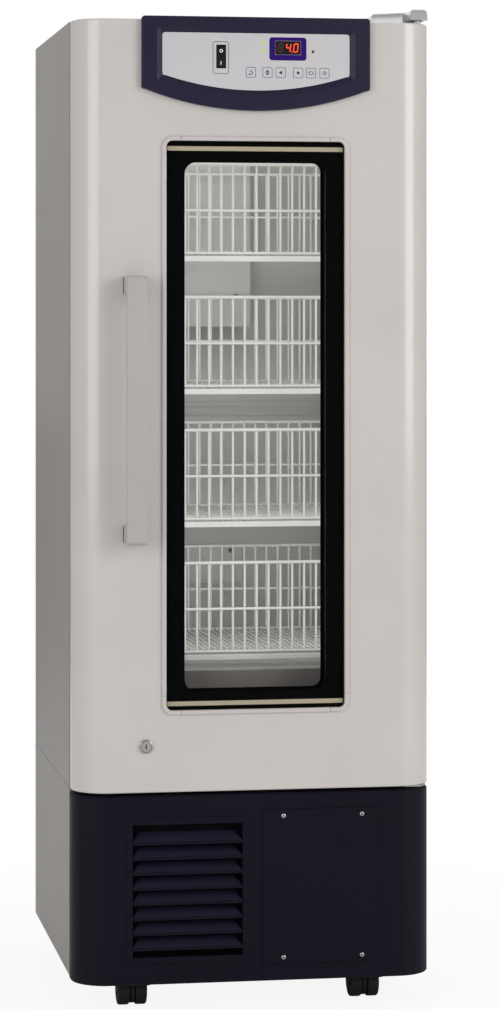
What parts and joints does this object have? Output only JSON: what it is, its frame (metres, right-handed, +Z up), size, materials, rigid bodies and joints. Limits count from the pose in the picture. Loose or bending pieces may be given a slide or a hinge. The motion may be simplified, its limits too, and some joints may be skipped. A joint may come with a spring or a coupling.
{
  "type": "blood bank refrigerator",
  "caption": "Upright blood bank refrigerator with a glazed door, control fascia, sliding wire baskets and a machine base on twin-wheel casters.",
  "frame": {"origin": "on the floor below the middle of the whole object, handle included", "axes": "+Z up, the door and handle face -Y, +X is to the right seen from the front"},
  "size_m": [0.555, 0.613, 1.53],
  "materials": {
    "white_paint": "satin powder coat",
    "grey_paint": "satin powder coat",
    "galvanised": "zinc coated sheet",
    "insulation": "rigid foam",
    "liner_grey": "smooth moulded liner",
    "duct_grey": "satin",
    "coated_wire": "white plastic coated wire",
    "aluminium": "mill finish",
    "lamp_white": "diffuser",
    "door_paint": "satin powder coat",
    "gasket_grey": "soft seal",
    "glass": "clear toughened glass",
    "surround_black": "black",
    "trim_grey": "satin moulding",
    "handle_grey": "satin",
    "navy_plastic": "fine texture",
    "silver_film": "satin film",
    "black_plastic": "gloss",
    "board_green": "circuit board",
    "nickel": "satin nickel",
    "zinc_casting": "cast",
    "nylon": "moulded",
    "steel_screw": "plated",
    "compressor_black": "enamel",
    "caster_black": "moulded",
    "caster_tyre": "polyurethane"
  },
  "bodies": {
    "cabinet": {"case_wrap": "grey_paint", "case_back": "galvanised", "case_insulation": "insulation", "inner_liner": "liner_grey", "basket_runners": "galvanised", "duct_covers": "duct_grey", "evaporator": "aluminium", "interior_lamp": "lamp_white", "lock_keeper": "galvanised", "top_hinge": "zinc_casting", "bottom_hinge": "galvanised", "base_cover": "navy_plastic", "louvre_grille": "navy_plastic", "access_plate": "navy_plastic", "fixing_screws": "steel_screw", "side_panels": "grey_paint", "base_frame": "galvanised", "rear_guard": "galvanised", "mains_inlet": "black_plastic", "condenser": "aluminium", "condenser_shroud": "galvanised", "fan_motors": "compressor_black", "compressor": "compressor_black", "drain_tray": "nylon"},
    "door": {"door_skin": "door_paint", "door_insulation": "insulation", "door_liner": "liner_grey", "door_gasket": "gasket_grey", "window_outer_pane": "glass", "window_surround": "surround_black", "window_inner_pane": "glass", "window_trim": "trim_grey", "handle": "handle_grey", "fascia_bezel": "navy_plastic", "fascia_overlay": "silver_film", "control_board": "board_green", "lock_barrel": "nickel", "hinge_bushes": "nylon"},
    "lock": {"lock_plug": "nickel"},
    "switch": {"rocker_switch": "black_plastic"},
    "key_1": {"control_key_1": "silver_film"},
    "key_2": {"control_key_2": "silver_film"},
    "key_3": {"control_key_3": "silver_film"},
    "key_4": {"control_key_4": "silver_film"},
    "key_5": {"control_key_5": "silver_film"},
    "key_6": {"control_key_6": "silver_film"},
    "basket_1": {"basket_1": "coated_wire"},
    "basket_2": {"basket_2": "coated_wire"},
    "basket_3": {"basket_3": "coated_wire"},
    "basket_4": {"basket_4": "coated_wire"},
    "evaporator_fan": {"evaporator_fan": "black_plastic"},
    "condenser_fan": {"condenser_fan": "black_plastic"},
    "fork_front_left": {"caster_fork_front_left": "caster_black"},
    "wheels_front_left": {"caster_wheels_front_left": "caster_tyre"},
    "fork_front_right": {"caster_fork_front_right": "caster_black"},
    "wheels_front_right": {"caster_wheels_front_right": "caster_tyre"},
    "fork_back_left": {"caster_fork_back_left": "caster_black"},
    "wheels_back_left": {"caster_wheels_back_left": "caster_tyre"},
    "fork_back_right": {"caster_fork_back_right": "caster_black"},
    "wheels_back_right": {"caster_wheels_back_right": "caster_tyre"}
  },
  "joints": [
    {"name": "door_hinge", "type": "hinge", "parent": "cabinet", "child": "door", "pos_m": [0.2575, -0.2335, 0.9], "axis": [0, 0, 1], "range_deg": [0, 135]},
    {"name": "lock_turn", "type": "hinge", "parent": "door", "child": "lock", "pos_m": [-0.169, -0.2635, 0.406], "axis": [0, 1, 0], "range_deg": [0, 90]},
    {"name": "switch_rock", "type": "hinge", "parent": "door", "child": "switch", "pos_m": [-0.0543, -0.2615, 1.4515], "axis": [1, 0, 0], "range_deg": [-16, 0]},
    {"name": "press_key_1", "type": "slide", "parent": "door", "child": "key_1", "axis": [0, 1, 0], "range_m": [0, 0.0006], "stiffness_N_per_m": 600, "springref_m": -0.0004},
    {"name": "press_key_2", "type": "slide", "parent": "door", "child": "key_2", "axis": [0, 1, 0], "range_m": [0, 0.0006], "stiffness_N_per_m": 600, "springref_m": -0.0004},
    {"name": "press_key_3", "type": "slide", "parent": "door", "child": "key_3", "axis": [0, 1, 0], "range_m": [0, 0.0006], "stiffness_N_per_m": 600, "springref_m": -0.0004},
    {"name": "press_key_4", "type": "slide", "parent": "door", "child": "key_4", "axis": [0, 1, 0], "range_m": [0, 0.0006], "stiffness_N_per_m": 600, "springref_m": -0.0004},
    {"name": "press_key_5", "type": "slide", "parent": "door", "child": "key_5", "axis": [0, 1, 0], "range_m": [0, 0.0006], "stiffness_N_per_m": 600, "springref_m": -0.0004},
    {"name": "press_key_6", "type": "slide", "parent": "door", "child": "key_6", "axis": [0, 1, 0], "range_m": [0, 0.0006], "stiffness_N_per_m": 600, "springref_m": -0.0004},
    {"name": "slide_basket_1", "type": "slide", "parent": "cabinet", "child": "basket_1", "axis": [0, -1, 0], "range_m": [0, 0.24]},
    {"name": "slide_basket_2", "type": "slide", "parent": "cabinet", "child": "basket_2", "axis": [0, -1, 0], "range_m": [0, 0.24]},
    {"name": "slide_basket_3", "type": "slide", "parent": "cabinet", "child": "basket_3", "axis": [0, -1, 0], "range_m": [0, 0.24]},
    {"name": "slide_basket_4", "type": "slide", "parent": "cabinet", "child": "basket_4", "axis": [0, -1, 0], "range_m": [0, 0.24]},
    {"name": "evaporator_fan_spin", "type": "hinge", "parent": "cabinet", "child": "evaporator_fan", "pos_m": [0, 0.205, 1.375], "axis": [0, 1, 0], "continuous": true},
    {"name": "condenser_fan_spin", "type": "hinge", "parent": "cabinet", "child": "condenser_fan", "pos_m": [-0.105, -0.16, 0.191], "axis": [0, 1, 0], "continuous": true},
    {"name": "swivel_front_left", "type": "hinge", "parent": "cabinet", "child": "fork_front_left", "pos_m": [-0.1815, -0.2015, 0.06], "axis": [0, 0, 1], "continuous": true},
    {"name": "roll_front_left", "type": "hinge", "parent": "fork_front_left", "child": "wheels_front_left", "pos_m": [-0.1815, -0.1875, 0.025], "axis": [1, 0, 0], "continuous": true},
    {"name": "swivel_front_right", "type": "hinge", "parent": "cabinet", "child": "fork_front_right", "pos_m": [0.1815, -0.2015, 0.06], "axis": [0, 0, 1], "continuous": true},
    {"name": "roll_front_right", "type": "hinge", "parent": "fork_front_right", "child": "wheels_front_right", "pos_m": [0.1815, -0.1875, 0.025], "axis": [1, 0, 0], "continuous": true},
    {"name": "swivel_back_left", "type": "hinge", "parent": "cabinet", "child": "fork_back_left", "pos_m": [-0.1815, 0.2405, 0.06], "axis": [0, 0, 1], "continuous": true},
    {"name": "roll_back_left", "type": "hinge", "parent": "fork_back_left", "child": "wheels_back_left", "pos_m": [-0.1815, 0.2545, 0.025], "axis": [1, 0, 0], "continuous": true},
    {"name": "swivel_back_right", "type": "hinge", "parent": "cabinet", "child": "fork_back_right", "pos_m": [0.1815, 0.2405, 0.06], "axis": [0, 0, 1], "continuous": true},
    {"name": "roll_back_right", "type": "hinge", "parent": "fork_back_right", "child": "wheels_back_right", "pos_m": [0.1815, 0.2545, 0.025], "axis": [1, 0, 0], "continuous": true}
  ],
  "couplings": [
    {"joint": "slide_basket_1", "follows": "door_hinge", "m_per_rad": 0.1},
    {"joint": "slide_basket_2", "follows": "door_hinge", "m_per_rad": 0.1},
    {"joint": "slide_basket_3", "follows": "door_hinge", "m_per_rad": 0.1},
    {"joint": "slide_basket_4", "follows": "door_hinge", "m_per_rad": 0.1}
  ]
}
